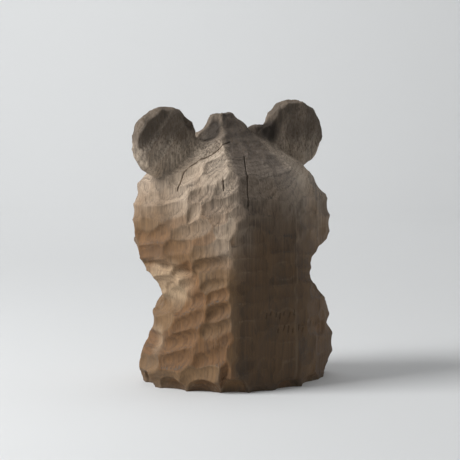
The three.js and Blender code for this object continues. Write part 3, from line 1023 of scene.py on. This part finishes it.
# %% Bright and dark wood at each height
grey_share = remap(plus(upright_share, swing(clouds, 0.7)), 0.42, 0.9)
bright = mixed(grey_share, honey, driftwood)
dark = mixed(grey_share, umber, slate)
crown_share = remap(plus(upright_share, swing(blotches, 0.12)), 0.81, 0.89)
bright = mixed(crown_share, bright, smoke)
dark = mixed(crown_share, dark, soot)
shade = maths("MULTIPLY_ADD", late_wood, 0.22, times(minus(0.64, fine_fibre), 2.0))
shade = plus(shade, times(minus(0.55, broad_fibre), 0.9))
shade = plus(shade, swing(year, 0.22))
shade = plus(shade, swing(tone, 0.5), clamp=True)
colour = mixed(shade, bright, dark)
colour = mixed(remap(blotches, 0.52, 0.72, 0, 0.5), colour, mixed(0.5, dark, slate))
colour = mixed(remap(specks, 0.6, 0.78, 0, 0.55), colour, slate)
print("Wood nodes so far:", len(tree_nodes))

# %% Warm strokes, nicks, the back's painted shade and worn ridges with a painted highlight
warm = times(remap(tone, 0.4, 0.7), remap(upright_share, 0.7, 0.5))
warm = times(warm, remap(back, 0.3, 0.0))
colour = tinted(times(warm, 0.6), colour, amber_tint)
lower_edge = times(remap(stroke_side, -0.55, -0.8), remap(stroke_side, -1.3, -1.05))
nicks = remap(grain_noise((620, 620, 14), 2.0), 0.53, 0.6)
chatter = times(times(lower_edge, nicks), remap(tone, 0.35, 0.6))
colour = mixed(times(chatter, 0.75), colour, slate)
# Painted shade: a grey tint darkens the back, the roof and the faces of the ears.
colour = tinted(back, colour, shaded_tint)
# Wear and painted highlight: ridges turn towards a pale colour, more on the lit flank than on the shaded
# back.
ridge_wear_and_highlight = times(remap(ridge_line, 0.35, 0.95), remap(broad_fibre, 0.3, 0.6))
colour = mixed(times(ridge_wear_and_highlight, remap(back, 0, 0.6, 0.6, 0.26)), colour, dust_and_highlight)
print("Wood nodes so far:", len(tree_nodes))

# %% [markdown]
# Painted light makes the hollow of the neck, and a small patch under it, pale. Torn end grain holds dirt,
# painted shade makes the cracks nearly black, and the foot of the carving turns darker towards the floor.

# %% Painted light in the hollows, end grain and painted shade in the cracks
def patch_reach(middle, scale):
    """Distance from the middle of an egg-shaped patch. It's about 1 at the patch's edge."""
    return vector_maths("LENGTH", vector_maths("MULTIPLY", vector_maths("SUBTRACT", place, middle), scale))


# Painted light: the lit hollow of the neck and a small lit patch under it are painted pale.
pale_reach = plus(patch_reach((0.1005, 0.031, 0.119), (20, 36, 44)), swing(clouds, 1.4))
hollow_painted_light = times(remap(pale_reach, 1.15, 0.35), remap(fine_fibre, 0.2, 0.6, 0.55, 1.0))
notch_painted_light = remap(patch_reach((0.098, 0.011, 0.054), (44, 60, 60)), 1.25, 0.2, 0, 0.6)
hollow_painted_light = maths("MAXIMUM", hollow_painted_light, notch_painted_light)
painted_light_wood = mixed(times(shade, 0.5), pale, honey)
colour = mixed(times(hollow_painted_light, 0.52), colour, painted_light_wood)
torn_dark = times(torn_grain, remap(specks, 0.42, 0.66))
colour = mixed(times(torn_dark, 0.8), colour, mixed(0.5, slate, umber))
# Painted shade: the cracks, marks, eye grooves and pits beside the crown turn nearly black.
colour = mixed(remap(painted_recess_shade, 0.15, 0.9, 0, 0.75), colour, recess_shade_black)
# The lowest centimetre of the carving turns darker towards the floor.
near_floor = times(remap(upright_share, 0.035, 0.0), 0.45)
colour = mixed(near_floor, colour, slate)
print("Wood nodes so far:", len(tree_nodes))

# %% [markdown]
# Every shape that can be seen is in the mesh. Bump only adds what is finer than the mesh: the fibres, the
# late wood of the rings, the torn specks and the nicks. The wood is dull, and dullest where it's torn.

# %% Roughness and relief
roughness = plus(remap(fine_fibre, 0.3, 0.7, 0.62, 0.8), times(torn_grain, 0.12))
torn_strength = maths("MULTIPLY_ADD", torn_grain, 2.0, 0.35)
reliefs = ((fine_fibre, 1.1), (broad_fibre, 0.8), (specks, torn_strength), (ridge_line, 0.7), (chatter, -0.9))
relief = times(late_wood, 0.3)
for pattern, strength in reliefs:
    relief = plus(relief, times(pattern, strength))
bump = add_node("Bump", Strength=0.75, Distance=0.0009, Height=relief)
surface = add_node("BsdfPrincipled", Base_Color=colour, Roughness=roughness, Normal=bump.outputs[0])
surface.inputs["Specular IOR Level"].default_value = 0.35
finish_node = add_node("OutputMaterial")
tree_links.new(surface.outputs[0], finish_node.inputs[0])
bear.data.materials.clear()
bear.data.materials.append(wood)
print("Wood nodes:", len(tree_nodes))

# %% [markdown]
# ## A plain studio
#
# The carving stands on a pale floor that curves up into a pale wall all round, like the inside of a bowl,
# so no horizon shows from any side.

# %% Floor and wall in one sweep
sweep_radius, bend_radius, wall_height, around = 4.0, 1.6, 3.2, 96
sweep = [(0.0, 0.0)] + [((sweep_radius - bend_radius) * share, 0.0) for share in (0.25, 0.5, 0.75, 1)]
for i in range(1, 17):
    angle = math.radians(90 * i / 16)
    sweep.append((sweep_radius - bend_radius * (1 - math.sin(angle)), bend_radius * (1 - math.cos(angle))))
sweep.append((sweep_radius, wall_height))
sweep_points = [
    (reach * math.cos(turn), reach * math.sin(turn), rise)
    for reach, rise in sweep[1:] for turn in np.radians(np.arange(around) * 360 / around)
]
sweep_faces = []
for ring in range(len(sweep) - 2):
    for i in range(around):
        a, b = ring * around + i, ring * around + (i + 1) % around
        sweep_faces.append((a, a + around, b + around, b))
sweep_faces.append(tuple(range(around)))
studio = mesh_object("studio", sweep_points, sweep_faces)
studio.data.shade_smooth()

paper = bpy.data.materials.new("pale paper")
paper.use_nodes = True
paper_surface = paper.node_tree.nodes["Principled BSDF"]
paper_surface.inputs["Base Color"].default_value = (0.57, 0.58, 0.585, 1)
paper_surface.inputs["Roughness"].default_value = 0.9
paper_surface.inputs["Emission Color"].default_value = (1, 1, 1, 1)
paper_surface.inputs["Emission Strength"].default_value = 0.08
studio.data.materials.append(paper)
print("Studio sweep:", len(sweep_faces), "faces")

# %% [markdown]
# One broad soft light stands at the bear's left. It rakes over the left flank, so that every stroke shows,
# and leaves the back in shade. A large weak one hangs overhead, another softens the shade on the right, and
# the last one is turned away from the bear to light the wall behind it.

# %% Light
bear_middle = Vector((0, 0, 0.15))


def aim_at(thing, target):
    thing.rotation_euler = (target - thing.location).to_track_quat("-Z", "Y").to_euler()


def soft_light(name, bearing, elevation, distance, size, power):
    """A square light at a bearing and an elevation in degrees, aimed at the bear's middle."""
    data = bpy.data.lights.new(name, "AREA")
    data.shape, data.size, data.energy = "SQUARE", size, power
    turn, rise = math.radians(bearing), math.radians(elevation)
    lamp = bpy.data.objects.new(name, data)
    lamp.location = distance * Vector((
        math.cos(rise) * math.cos(turn), math.cos(rise) * math.sin(turn), math.sin(rise)
    )) + bear_middle
    aim_at(lamp, bear_middle)
    bpy.context.scene.collection.objects.link(lamp)
    return lamp


key_light = soft_light("key light", bearing=-10, elevation=38, distance=2.2, size=1.1, power=62)
top_light = soft_light("top light", bearing=240, elevation=76, distance=2.4, size=1.6, power=12)
side_light = soft_light("side light", bearing=172, elevation=18, distance=2.6, size=1.6, power=7)
wall_light = soft_light("wall light", bearing=258, elevation=46, distance=3.2, size=1.6, power=44)
aim_at(wall_light, Vector((-1.5, -3.9, 0.7)))
sky = bpy.data.worlds.new("sky")
sky.use_nodes = True
sky.node_tree.nodes["Background"].inputs["Color"].default_value = (0.95, 0.98, 1.0, 1)
sky.node_tree.nodes["Background"].inputs["Strength"].default_value = 0.05
bpy.context.scene.world = sky
bpy.context.scene.view_settings.view_transform = "Standard"
lights = (key_light, top_light, side_light, wall_light)
print("Lights:", ", ".join(lamp.name for lamp in lights))

# %% [markdown]
# ## Camera
#
# The photograph was taken from behind the bear's left side, slightly above, with a long lens.

# %% Camera at the photograph's angle
eye_place = Vector((0.9637, 1.6036, 0.3299))
look_at = Vector((-0.0176, -0.0235, 0.1657))
camera_data = bpy.data.cameras.new("camera")
camera_data.lens = 130.9
camera_data.sensor_width = 36
camera = bpy.data.objects.new("camera", camera_data)
camera.location = eye_place
aim_at(camera, look_at)
bpy.context.scene.collection.objects.link(camera)
bpy.context.scene.camera = camera
print("Camera stands", round(eye_place.length, 2), "m away")
